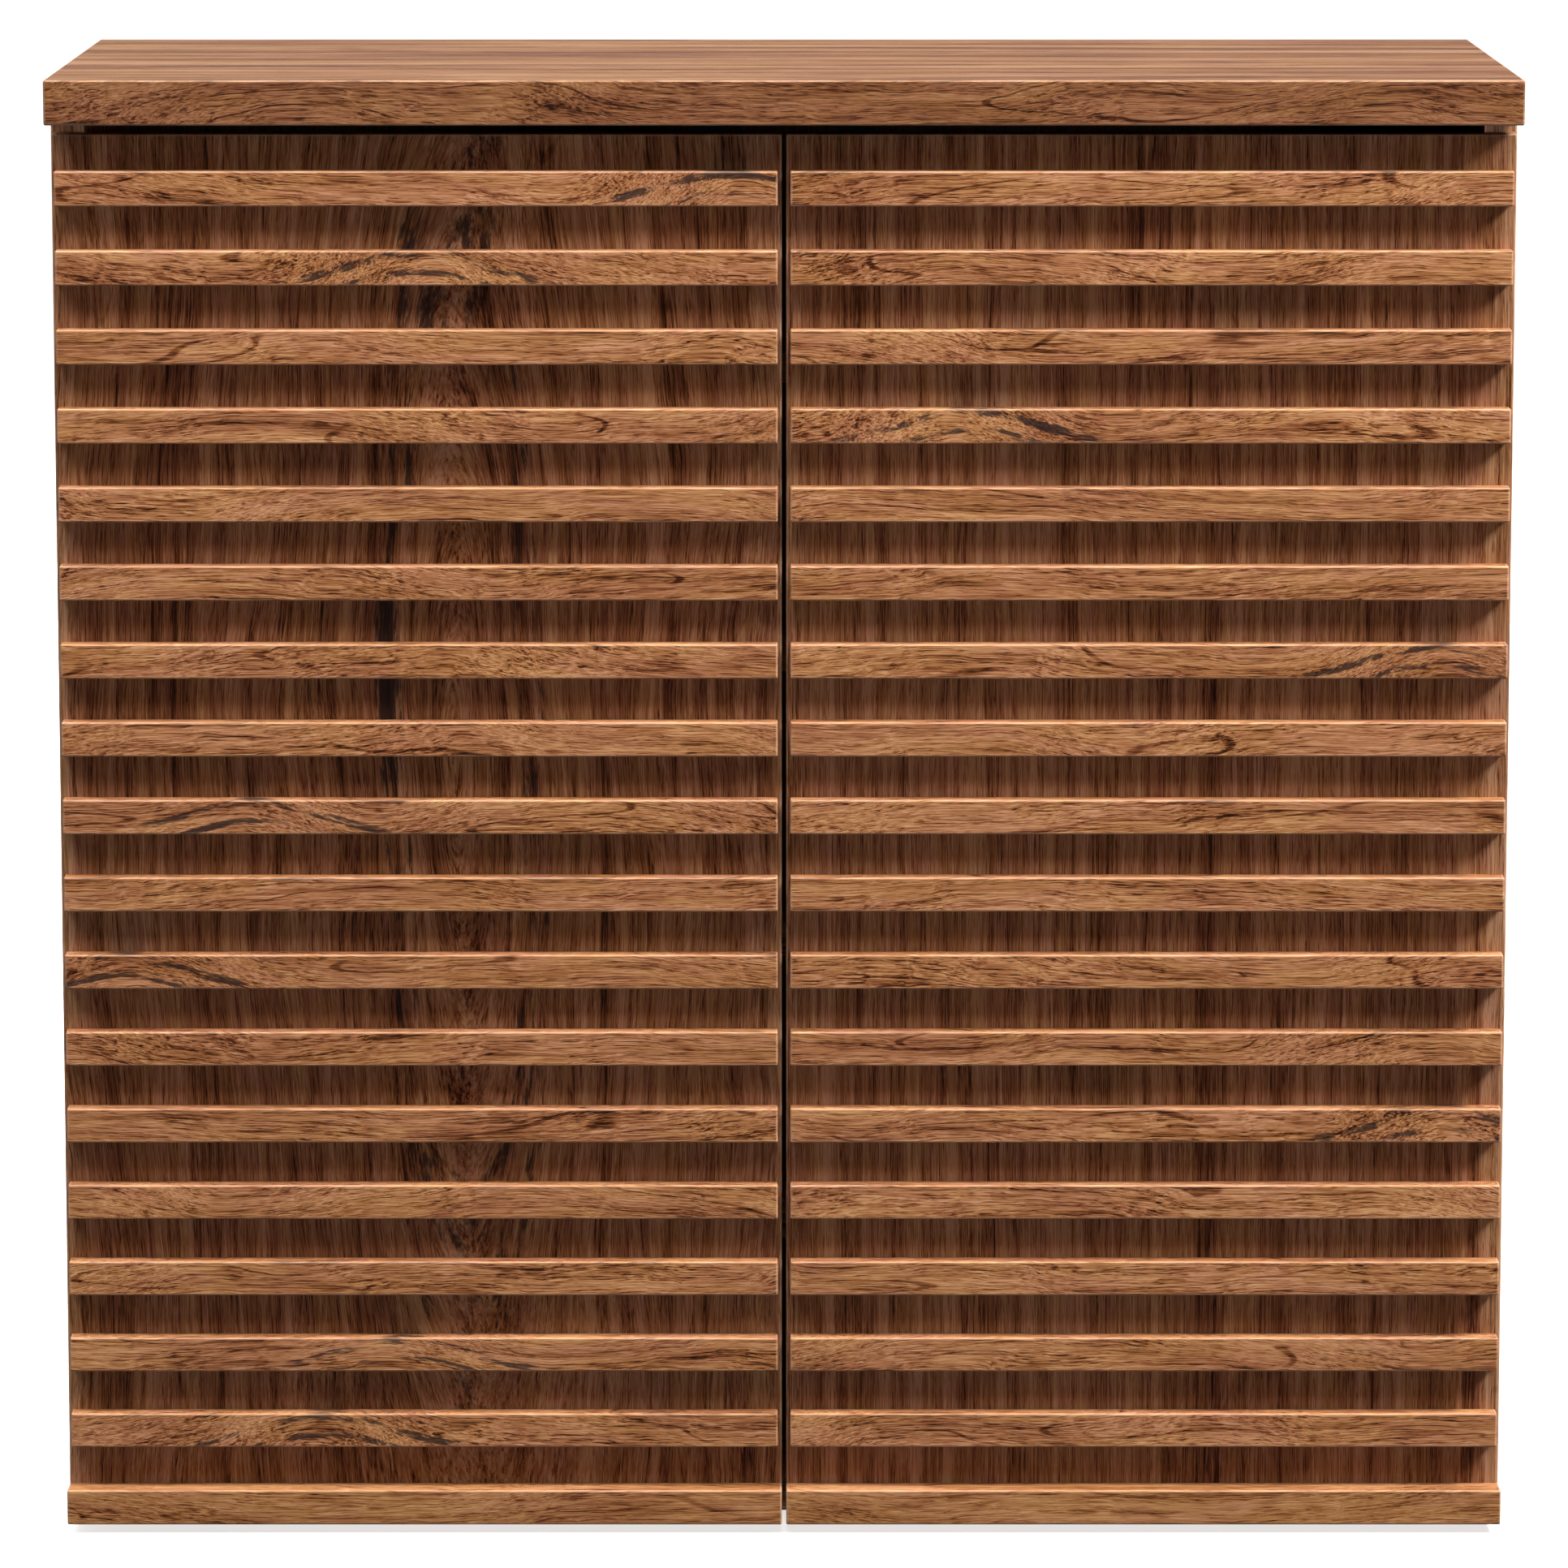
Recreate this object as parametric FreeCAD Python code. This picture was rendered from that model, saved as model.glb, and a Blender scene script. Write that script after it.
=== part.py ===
"""Two-door slatted shoe cabinet, free-standing, in millimetres.

+X is to the right, +Y to the back and +Z up.  The origin is on the floor, in
the middle of the cabinet's width and depth.  A thick top panel lies on two
side panels.  Each door is one upright panel that carries a ladder of
horizontal slats and a thicker rail along its foot.  The doors turn on
concealed cup hinges and are held by push-to-open latches.  The left half is
drawn and the right half is its mirror image.
"""
import FreeCAD, Part
import os

# Overall size
WIDTH = 800.0
DEPTH = 350.0
HEIGHT = 806.0

# Carcass boards
TOP_THICKNESS = 24.5
BOARD = 18.0
TOP_OVERHANG = 0.5
GLIDE_HEIGHT = 5.0
BACK_THICKNESS = 4.0
BACK_INSET = 1.5
TOP_EDGE_RADIUS = 1.2
BOARD_EDGE_RADIUS = 0.5

# Shelves
SHELF_THICKNESS = 16.0
SHELF_SIDE_GAP = 1.0
SHELF_FRONT_SETBACK = 10.0
SHELF_BACK_GAP = 2.0
FIRST_SHELF_BOTTOM = 157.0
SHELF_PITCH = 160.0
SHELF_COUNT = 4
PEG_HOLE_PITCH = 32.0
PEG_HOLE_RADIUS = 2.5
PEG_HOLE_DEPTH = 10.0
PEG_LINE_INSET = 37.0
PEG_RADIUS = 2.45
PEG_DEPTH = 9.0
PEG_STUB = 8.0

# Doors
DOOR_WIDTH = 396.5
DOOR_THICKNESS = 16.0
CENTRE_GAP = 2.4
CARCASS_GAP = 3.0
DOOR_TOP_GAP = 5.9
DOOR_EDGE_RADIUS = 0.8
SLAT_COUNT = 17
SLAT_HEIGHT = 19.0
SLAT_THICKNESS = 12.0
SLAT_PITCH = 43.1
SLAT_TOP_MARGIN = 19.3
SLAT_END_INSET = 2.25
RAIL_HEIGHT = 19.5
RAIL_THICKNESS = 18.0
SLAT_EDGE_RADIUS = 1.0

# Cup hinges, two to a door; the pin stands upright inside the cup
HINGE_INSET = 84.0
PIN_INSET = 7.0
PIN_DEPTH = 9.0
PIN_RADIUS = 1.2
PIN_LENGTH = 15.0
PIN_CLEARANCE = 0.05
CUP_RADIUS = 17.4
CUP_BORE_RADIUS = 17.5
CUP_EDGE_DISTANCE = 3.0
CUP_FLOOR = 1.0
CUP_FLANGE = 1.0
CUP_FLANGE_WIDTH = 20.0
CUP_FLANGE_LENGTH = 62.0
CUP_PLUG_SPACING = 45.0
CUP_PLUG_RADIUS = 3.95
CUP_PLUG_HOLE_RADIUS = 4.0
CUP_PLUG_LENGTH = 10.0
POCKET_WIDTH = 9.6
POCKET_LENGTH = 20.3
ARM_WIDTH = 9.0
ARM_STEEL = 1.6
ARM_REACH = 14.0
ARM_RISE = 16.0
KNUCKLE_RADIUS = 2.0
KNUCKLE_CLEARANCE = 0.4
POCKET_SIDE_CLEARANCE = 0.6
PLATE_LENGTH = 44.0
PLATE_WIDTH = 40.0
PLATE_SCREW_SPACING = 32.0

# Push-to-open latches
LATCH_X = 40.0
LATCH_WIDTH = 20.0
LATCH_HEIGHT = 20.0
LATCH_LENGTH = 76.0
LATCH_SETBACK = 4.0
LATCH_AXIS_DROP = 14.5
PLUNGER_RADIUS = 4.0
PLUNGER_CLEARANCE = 0.08
PLUNGER_SHAFT = 26.0
PLUNGER_BORE = 34.0
PLUNGER_HEAD_RADIUS = 5.5
PLUNGER_HEAD = 2.4
STRIKE_RADIUS = 7.5
STRIKE_THICKNESS = 1.2
STRIKE_GAP = 0.4

# Screws, dowels and glides
PLATE_SCREW_LENGTH = 11.0
PLATE_SCREW_RADIUS = 2.4
PLATE_SCREW_HOLE_RADIUS = 2.5
PLATE_SCREW_HEAD_RADIUS = 4.2
PLATE_SCREW_HEAD = 2.0
BACK_SCREW_LENGTH = 18.0
BACK_SCREW_RADIUS = 1.5
BACK_SCREW_HOLE_RADIUS = 1.6
BACK_SCREW_HEAD_RADIUS = 3.5
BACK_SCREW_HEAD = 1.2
BACK_SCREW_ROWS = 6
BACK_SCREW_COLUMNS = 4
SCREW_HOLE_SPARE = 1.0
SCREW_SLOT_WIDTH = 1.0
SCREW_SLOT_DEPTH = 0.7
DOWEL_RADIUS = 4.0
DOWEL_HALF_LENGTH = 12.0
DOWEL_HOLE_SPARE = 1.0
DOWELS_PER_JOINT = 3
DOWEL_END_DISTANCE = 45.0
GLIDE_RADIUS = 8.0
GLIDE_CHAMFER = 1.0
GLIDE_INSET = 22.0

# Derived places
FRONT_Y = -DEPTH / 2
BACK_Y = DEPTH / 2 - BACK_SCREW_HEAD
CARCASS_BACK_Y = BACK_Y - BACK_THICKNESS
DOOR_FRONT_Y = FRONT_Y + RAIL_THICKNESS
DOOR_BACK_Y = DOOR_FRONT_Y + DOOR_THICKNESS
CARCASS_FRONT_Y = DOOR_BACK_Y + CARCASS_GAP
TOP_UNDERSIDE_Z = HEIGHT - TOP_THICKNESS
DOOR_TOP_Z = TOP_UNDERSIDE_Z - DOOR_TOP_GAP
SIDE_OUTER_X = -WIDTH / 2 + TOP_OVERHANG
SIDE_INNER_X = SIDE_OUTER_X + BOARD
BOTTOM_TOP_Z = GLIDE_HEIGHT + BOARD
DOOR_INNER_X = -CENTRE_GAP / 2
DOOR_OUTER_X = DOOR_INNER_X - DOOR_WIDTH
PIN_X = DOOR_OUTER_X + PIN_INSET
PIN_Y = DOOR_BACK_Y - PIN_DEPTH
CUP_X = DOOR_OUTER_X + CUP_EDGE_DISTANCE + CUP_BORE_RADIUS
CUP_BOTTOM_Y = PIN_Y - KNUCKLE_RADIUS - KNUCKLE_CLEARANCE - CUP_FLOOR
HINGE_Z = [GLIDE_HEIGHT + HINGE_INSET, DOOR_TOP_Z - HINGE_INSET]
PEG_Y = [CARCASS_FRONT_Y + PEG_LINE_INSET, CARCASS_BACK_Y - PEG_LINE_INSET]
LATCH_FRONT_Y = CARCASS_FRONT_Y + LATCH_SETBACK
LATCH_Z = TOP_UNDERSIDE_Z - LATCH_AXIS_DROP
STRIKE_BACK_Y = DOOR_BACK_Y + STRIKE_THICKNESS

X_AXIS = FreeCAD.Vector(1, 0, 0)
Y_AXIS = FreeCAD.Vector(0, 1, 0)
Z_AXIS = FreeCAD.Vector(0, 0, 1)


def block(x_range, y_range, z_range):
    """Return a plain box between the given limits."""
    low = FreeCAD.Vector(x_range[0], y_range[0], z_range[0])
    high = FreeCAD.Vector(x_range[1], y_range[1], z_range[1])
    size = high - low
    return Part.makeBox(size.x, size.y, size.z, low)


def board(x_range, y_range, z_range, edge_radius=BOARD_EDGE_RADIUS):
    """Return a box whose edges are all rounded."""
    plain = block(x_range, y_range, z_range)
    return plain.makeFillet(edge_radius, plain.Edges)


def rod(start, axis, radius, length):
    """Return a cylinder that runs from start along axis."""
    return Part.makeCylinder(radius, length, FreeCAD.Vector(*start), axis)


def mirrored(shape):
    """Return the other half's copy of a shape."""
    return shape.mirror(FreeCAD.Vector(0, 0, 0), X_AXIS)


def spread(low, high, count):
    """Return evenly spaced values from low to high."""
    step = (high - low) / (count - 1)
    return [low + step * index for index in range(count)]


def shelf_bottoms():
    """Return the height of each shelf's underside."""
    return [FIRST_SHELF_BOTTOM + SHELF_PITCH * index for index in range(SHELF_COUNT)]


def back_screw_places():
    """Return x and z of the back panel's screws, up both sides and along the foot."""
    side_x = SIDE_OUTER_X + BOARD / 2
    heights = spread(GLIDE_HEIGHT + 3 * BOARD, TOP_UNDERSIDE_Z - 2 * BOARD, BACK_SCREW_ROWS)
    places = [(x, z) for x in (side_x, -side_x) for z in heights]
    foot_z = GLIDE_HEIGHT + BOARD / 2
    columns = spread(0.8 * side_x, -0.8 * side_x, BACK_SCREW_COLUMNS)
    places += [(x, foot_z) for x in columns]
    return places


def back_screw_holes():
    """Return the drillings for the back panel's screws."""
    start_y = BACK_Y - BACK_SCREW_LENGTH - SCREW_HOLE_SPARE
    length = BACK_SCREW_LENGTH + SCREW_HOLE_SPARE
    return [
        rod((x, start_y, z), Y_AXIS, BACK_SCREW_HOLE_RADIUS, length)
        for x, z in back_screw_places()
    ]


def carcass_dowels(spare=0.0):
    """Return the left side's dowels, or their drillings when spare is given."""
    half = DOWEL_HALF_LENGTH + spare
    side_middle_x = SIDE_OUTER_X + BOARD / 2
    bottom_middle_z = GLIDE_HEIGHT + BOARD / 2
    dowels = []
    low = CARCASS_FRONT_Y + DOWEL_END_DISTANCE
    high = CARCASS_BACK_Y - DOWEL_END_DISTANCE
    for y in spread(low, high, DOWELS_PER_JOINT):
        top_start = (side_middle_x, y, TOP_UNDERSIDE_Z - half)
        dowels.append(rod(top_start, Z_AXIS, DOWEL_RADIUS, 2 * half))
        foot_start = (SIDE_INNER_X - half, y, bottom_middle_z)
        dowels.append(rod(foot_start, X_AXIS, DOWEL_RADIUS, 2 * half))
    return dowels


def top_panel():
    """Return the thick top, drilled from below for the side panels' dowels."""
    half_width = WIDTH / 2
    panel = board(
        (-half_width, half_width),
        (FRONT_Y, -FRONT_Y),
        (TOP_UNDERSIDE_Z, HEIGHT),
        TOP_EDGE_RADIUS,
    )
    drillings = carcass_dowels(DOWEL_HOLE_SPARE)
    drillings += [mirrored(drilling) for drilling in drillings]
    return panel.cut(drillings)


def side_panel():
    """Return the left side with its drillings for pegs, hinges, dowels and screws."""
    panel = board(
        (SIDE_OUTER_X, SIDE_INNER_X),
        (CARCASS_FRONT_Y, CARCASS_BACK_Y),
        (GLIDE_HEIGHT, TOP_UNDERSIDE_Z),
    )
    drillings = carcass_dowels(DOWEL_HOLE_SPARE) + back_screw_holes()
    for shelf_z in shelf_bottoms():
        for step in (-1, 0, 1):
            z = shelf_z - PEG_HOLE_RADIUS + step * PEG_HOLE_PITCH
            for y in PEG_Y:
                start = (SIDE_INNER_X - PEG_HOLE_DEPTH, y, z)
                drillings.append(rod(start, X_AXIS, PEG_HOLE_RADIUS, PEG_HOLE_DEPTH))
    depth = PLATE_SCREW_LENGTH + SCREW_HOLE_SPARE
    for z in plate_screw_heights():
        start = (SIDE_INNER_X - depth, PEG_Y[0], z)
        drillings.append(rod(start, X_AXIS, PLATE_SCREW_HOLE_RADIUS, depth))
    return panel.cut(drillings)


def bottom_panel():
    """Return the floor of the cabinet, drilled at both ends and along its back."""
    panel = board(
        (SIDE_INNER_X, -SIDE_INNER_X),
        (CARCASS_FRONT_Y, CARCASS_BACK_Y),
        (GLIDE_HEIGHT, BOTTOM_TOP_Z),
    )
    drillings = carcass_dowels(DOWEL_HOLE_SPARE)
    drillings += [mirrored(drilling) for drilling in drillings]
    return panel.cut(drillings + back_screw_holes())


def back_panel():
    """Return the thin back, which is screwed on behind the sides and bottom."""
    half_width = -SIDE_OUTER_X - BACK_INSET
    panel = block(
        (-half_width, half_width),
        (CARCASS_BACK_Y, BACK_Y),
        (GLIDE_HEIGHT + BACK_INSET, TOP_UNDERSIDE_Z),
    )
    return panel.cut(back_screw_holes())


def shelf(bottom_z):
    """Return one loose shelf whose underside is at bottom_z."""
    half_width = -SIDE_INNER_X - SHELF_SIDE_GAP
    return board(
        (-half_width, half_width),
        (CARCASS_FRONT_Y + SHELF_FRONT_SETBACK, CARCASS_BACK_Y - SHELF_BACK_GAP),
        (bottom_z, bottom_z + SHELF_THICKNESS),
    )


def shelf_pins():
    """Return the left side's pegs, each a thin stem in the board and a stub outside."""
    pins = []
    for shelf_z in shelf_bottoms():
        z = shelf_z - PEG_HOLE_RADIUS
        for y in PEG_Y:
            stem = rod((SIDE_INNER_X - PEG_DEPTH, y, z), X_AXIS, PEG_RADIUS, PEG_DEPTH)
            stub = rod((SIDE_INNER_X, y, z), X_AXIS, PEG_HOLE_RADIUS, PEG_STUB)
            pins.append(stem.fuse(stub))
    return pins


def hinge_cup(z):
    """Return one cup with its flange, two plugs, the arm's pocket and the pin's bore."""
    cup = rod((CUP_X, CUP_BOTTOM_Y, z), Y_AXIS, CUP_RADIUS, DOOR_BACK_Y - CUP_BOTTOM_Y)
    half_length = CUP_FLANGE_LENGTH / 2
    half_width = CUP_FLANGE_WIDTH / 2
    flange = block(
        (CUP_X - half_width, CUP_X + half_width),
        (DOOR_BACK_Y, DOOR_BACK_Y + CUP_FLANGE),
        (z - half_length, z + half_length),
    )
    upright = [edge for edge in flange.Edges if abs(edge.tangentAt(0).y) > 0.5]
    flange = flange.makeFillet(half_width * 0.6, upright)
    rim = rod((CUP_X, DOOR_BACK_Y, z), Y_AXIS, CUP_RADIUS, CUP_FLANGE)
    plugs = []
    for side in (-1, 1):
        start = (CUP_X, DOOR_BACK_Y - CUP_PLUG_LENGTH, z + side * CUP_PLUG_SPACING / 2)
        plugs.append(rod(start, Y_AXIS, CUP_PLUG_RADIUS, CUP_PLUG_LENGTH))
    pocket_x = PIN_X - KNUCKLE_RADIUS - POCKET_SIDE_CLEARANCE
    pocket = block(
        (pocket_x, pocket_x + POCKET_LENGTH),
        (CUP_BOTTOM_Y + CUP_FLOOR, DOOR_BACK_Y + CUP_FLANGE),
        (z - POCKET_WIDTH / 2, z + POCKET_WIDTH / 2),
    )
    bore_length = PIN_LENGTH + 2 * PIN_CLEARANCE
    bore_start = (PIN_X, PIN_Y, z - bore_length / 2)
    bore = rod(bore_start, Z_AXIS, PIN_RADIUS + PIN_CLEARANCE, bore_length)
    return cup.fuse([flange, rim] + plugs).removeSplitter().cut([pocket, bore])


def hinge_arm(z):
    """Return one steel arm: knuckle, web, upright leg, step and mounting plate."""
    inner_reach = ARM_REACH - ARM_STEEL
    panel_face = SIDE_INNER_X - PIN_X
    web_back = ARM_STEEL - KNUCKLE_RADIUS
    outline = [
        (0, -KNUCKLE_RADIUS),
        (ARM_REACH, -KNUCKLE_RADIUS),
        (ARM_REACH, ARM_RISE),
        (panel_face, ARM_RISE),
        (panel_face, ARM_RISE - ARM_STEEL),
        (inner_reach, ARM_RISE - ARM_STEEL),
        (inner_reach, web_back),
        (0, web_back),
    ]
    low_z = z - ARM_WIDTH / 2
    points = [FreeCAD.Vector(PIN_X + x, PIN_Y + y, low_z) for x, y in outline]
    strip = Part.Face(Part.makePolygon(points + points[:1])).extrude(Z_AXIS * ARM_WIDTH)
    knuckle = rod((PIN_X, PIN_Y, low_z), Z_AXIS, KNUCKLE_RADIUS, ARM_WIDTH)
    plate_y = PIN_Y + ARM_RISE - ARM_STEEL
    plate = block(
        (SIDE_INNER_X, SIDE_INNER_X + ARM_STEEL),
        (plate_y, plate_y + PLATE_LENGTH),
        (z - PLATE_WIDTH / 2, z + PLATE_WIDTH / 2),
    )
    corners = [edge for edge in plate.Edges if abs(edge.tangentAt(0).x) > 0.5]
    plate = plate.makeFillet(4 * ARM_STEEL, corners)
    arm = strip.fuse([knuckle, plate]).removeSplitter()
    pin_hole = rod((PIN_X, PIN_Y, low_z), Z_AXIS, PIN_RADIUS, ARM_WIDTH)
    holes = [pin_hole]
    for side in (-1, 1):
        start = (SIDE_INNER_X, PEG_Y[0], z + side * PLATE_SCREW_SPACING / 2)
        holes.append(rod(start, X_AXIS, PLATE_SCREW_HOLE_RADIUS, ARM_STEEL))
    return arm.cut(holes)


def hinge_pin(z):
    """Return one upright hinge pin."""
    return rod((PIN_X, PIN_Y, z - PIN_LENGTH / 2), Z_AXIS, PIN_RADIUS, PIN_LENGTH)


def plate_screw_heights():
    """Return the heights of one side's hinge-plate screws."""
    half = PLATE_SCREW_SPACING / 2
    return [z + side * half for z in HINGE_Z for side in (-1, 1)]


def screw(tip, axis, shank_radius, length, head_radius, head_height):
    """Return a screw from tip along axis, with a cross-slotted flat head at the end."""
    start = FreeCAD.Vector(*tip)
    head_start = start + axis * length
    shank = Part.makeCylinder(shank_radius, length, start, axis)
    head = Part.makeCylinder(head_radius, head_height, head_start, axis)
    floor = head_start + axis * (head_height - SCREW_SLOT_DEPTH)
    slot_length = 1.2 * head_radius
    slots = []
    for turn in (0, 90):
        slot = Part.makeBox(slot_length, SCREW_SLOT_WIDTH, SCREW_SLOT_DEPTH)
        slot.translate(FreeCAD.Vector(-slot_length / 2, -SCREW_SLOT_WIDTH / 2, 0))
        slot.rotate(FreeCAD.Vector(0, 0, 0), Z_AXIS, turn)
        slot.Placement = FreeCAD.Placement(floor, FreeCAD.Rotation(Z_AXIS, axis)) * slot.Placement
        slots.append(slot)
    return shank.fuse(head).cut(slots)


def wood_screws():
    """Return the screws of both sides' hinge plates and of the back panel."""
    left = []
    for z in plate_screw_heights():
        tip = (SIDE_INNER_X + ARM_STEEL - PLATE_SCREW_LENGTH, PEG_Y[0], z)
        left.append(
            screw(
                tip,
                X_AXIS,
                PLATE_SCREW_RADIUS,
                PLATE_SCREW_LENGTH,
                PLATE_SCREW_HEAD_RADIUS,
                PLATE_SCREW_HEAD,
            )
        )
    back = []
    for x, z in back_screw_places():
        tip = (x, BACK_Y - BACK_SCREW_LENGTH, z)
        back.append(
            screw(
                tip,
                Y_AXIS,
                BACK_SCREW_RADIUS,
                BACK_SCREW_LENGTH,
                BACK_SCREW_HEAD_RADIUS,
                BACK_SCREW_HEAD,
            )
        )
    return left + [mirrored(item) for item in left] + back


def latch_housing():
    """Return the left latch's body, bored for its plunger."""
    half = LATCH_WIDTH / 2
    body = block(
        (-LATCH_X - half, -LATCH_X + half),
        (LATCH_FRONT_Y, LATCH_FRONT_Y + LATCH_LENGTH),
        (TOP_UNDERSIDE_Z - LATCH_HEIGHT, TOP_UNDERSIDE_Z),
    )
    lower = [
        edge
        for edge in body.Edges
        if abs(edge.tangentAt(0).y) > 0.5 and edge.CenterOfMass.z < LATCH_Z
    ]
    body = body.makeFillet(half / 4, lower)
    start = (-LATCH_X, LATCH_FRONT_Y, LATCH_Z)
    bore = rod(start, Y_AXIS, PLUNGER_RADIUS + PLUNGER_CLEARANCE, PLUNGER_BORE)
    return body.cut(bore)


def latch_plunger():
    """Return the left latch's plunger, a shaft with a broad flat head."""
    head_y = STRIKE_BACK_Y + STRIKE_GAP
    head = rod((-LATCH_X, head_y, LATCH_Z), Y_AXIS, PLUNGER_HEAD_RADIUS, PLUNGER_HEAD)
    shaft_start = (-LATCH_X, head_y + PLUNGER_HEAD, LATCH_Z)
    shaft = rod(shaft_start, Y_AXIS, PLUNGER_RADIUS, PLUNGER_SHAFT)
    return head.fuse(shaft)


def strike_plate():
    """Return the steel disc that the left plunger's magnet holds."""
    start = (-LATCH_X, DOOR_BACK_Y, LATCH_Z)
    return rod(start, Y_AXIS, STRIKE_RADIUS, STRIKE_THICKNESS)


def door_panel():
    """Return the left door's panel, drilled from behind for its hinge cups."""
    panel = board(
        (DOOR_OUTER_X, DOOR_INNER_X),
        (DOOR_FRONT_Y, DOOR_BACK_Y),
        (GLIDE_HEIGHT, DOOR_TOP_Z),
        DOOR_EDGE_RADIUS,
    )
    drillings = []
    for z in HINGE_Z:
        depth = DOOR_BACK_Y - CUP_BOTTOM_Y
        drillings.append(rod((CUP_X, CUP_BOTTOM_Y, z), Y_AXIS, CUP_BORE_RADIUS, depth))
        for side in (-1, 1):
            plug_z = z + side * CUP_PLUG_SPACING / 2
            start = (CUP_X, DOOR_BACK_Y - CUP_PLUG_LENGTH, plug_z)
            drillings.append(rod(start, Y_AXIS, CUP_PLUG_HOLE_RADIUS, CUP_PLUG_LENGTH))
    return panel.cut(drillings)


def door_slat(index):
    """Return one of the left door's slats, counted from 0 at the top."""
    top_z = DOOR_TOP_Z - SLAT_TOP_MARGIN - index * SLAT_PITCH
    return board(
        (DOOR_OUTER_X + SLAT_END_INSET, DOOR_INNER_X - SLAT_END_INSET),
        (DOOR_FRONT_Y - SLAT_THICKNESS, DOOR_FRONT_Y),
        (top_z - SLAT_HEIGHT, top_z),
        SLAT_EDGE_RADIUS,
    )


def bottom_rail():
    """Return the thick rail along the left door's foot."""
    return board(
        (DOOR_OUTER_X, DOOR_INNER_X),
        (FRONT_Y, DOOR_FRONT_Y),
        (GLIDE_HEIGHT, GLIDE_HEIGHT + RAIL_HEIGHT),
        SLAT_EDGE_RADIUS,
    )


def floor_glides():
    """Return the six round glides that the cabinet stands on."""
    glides = []
    side_x = SIDE_OUTER_X + BOARD / 2
    for x in (side_x, 0, -side_x):
        for y in (CARCASS_FRONT_Y + GLIDE_INSET, CARCASS_BACK_Y - GLIDE_INSET):
            glide = rod((x, y, 0), Z_AXIS, GLIDE_RADIUS, GLIDE_HEIGHT)
            foot = [edge for edge in glide.Edges if edge.BoundBox.ZMax < GLIDE_CHAMFER]
            glides.append(glide.makeChamfer(GLIDE_CHAMFER, foot))
    return glides


def save(name, *shapes):
    """Write one node's solids to parts/name.step."""
    solids = [solid for shape in shapes for solid in shape.Solids]
    shape = solids[0] if len(solids) == 1 else Part.makeCompound(solids)
    shape.exportStep("parts/" + name + ".step")


def save_pair(name, shape):
    """Write a left-hand piece and its mirror image as two nodes."""
    save(name.format(side="left"), shape)
    save(name.format(side="right"), mirrored(shape))


def save_both_sides(name, shapes):
    """Write the pieces of both sides as one node."""
    save(name, *shapes, *[mirrored(shape) for shape in shapes])


def save_carcass():
    """Write the fixed boards and shelves."""
    save("top_panel", top_panel())
    save_pair("side_panel_{side}", side_panel())
    save("bottom_panel", bottom_panel())
    save("back_panel", back_panel())
    for number, bottom_z in enumerate(shelf_bottoms(), start=1):
        save("shelf_" + str(number), shelf(bottom_z))


def save_hardware():
    """Write the fittings, each kind as one node."""
    save_both_sides("shelf_pins", shelf_pins())
    save_both_sides("carcass_dowels", carcass_dowels())
    save_both_sides("hinge_arms", [hinge_arm(z) for z in HINGE_Z])
    save_both_sides("hinge_pins", [hinge_pin(z) for z in HINGE_Z])
    save_both_sides("latch_housings", [latch_housing()])
    save("wood_screws", *wood_screws())
    save("floor_glides", *floor_glides())
    save_pair("latch_plunger_{side}", latch_plunger())


def save_doors():
    """Write the pieces of both doors."""
    save_pair("door_panel_{side}", door_panel())
    save_pair("bottom_rail_{side}", bottom_rail())
    for index in range(SLAT_COUNT):
        save_pair("slat_{side}_" + format(index + 1, "02d"), door_slat(index))
    cups = [hinge_cup(z) for z in HINGE_Z]
    save_pair("hinge_cups_{side}", Part.makeCompound(cups))
    save_pair("strike_plate_{side}", strike_plate())


os.makedirs("parts", exist_ok=True)
save_carcass()
save_hardware()
save_doors()
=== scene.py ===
"""Looks of the two-door slatted shoe cabinet: walnut-look boards, steel and plastic fittings."""
import math

import bpy
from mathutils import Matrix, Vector


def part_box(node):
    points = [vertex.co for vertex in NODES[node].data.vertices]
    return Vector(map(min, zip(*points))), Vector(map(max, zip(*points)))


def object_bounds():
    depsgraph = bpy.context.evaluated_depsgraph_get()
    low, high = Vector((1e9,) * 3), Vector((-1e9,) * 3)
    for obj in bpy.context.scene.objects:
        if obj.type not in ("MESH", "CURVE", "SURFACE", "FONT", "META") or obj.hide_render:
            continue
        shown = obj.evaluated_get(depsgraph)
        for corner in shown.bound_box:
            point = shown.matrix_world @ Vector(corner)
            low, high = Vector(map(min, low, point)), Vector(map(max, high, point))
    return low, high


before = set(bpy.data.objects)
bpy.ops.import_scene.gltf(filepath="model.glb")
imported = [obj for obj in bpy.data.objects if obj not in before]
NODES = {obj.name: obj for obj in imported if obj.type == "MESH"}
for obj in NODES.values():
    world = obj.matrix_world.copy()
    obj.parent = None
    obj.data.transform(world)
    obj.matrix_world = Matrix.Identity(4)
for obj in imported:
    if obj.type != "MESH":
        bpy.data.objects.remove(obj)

CAD_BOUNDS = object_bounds()
MM_PER_M = 1000.0
WHITE = (1.0, 1.0, 1.0, 1.0)


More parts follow.
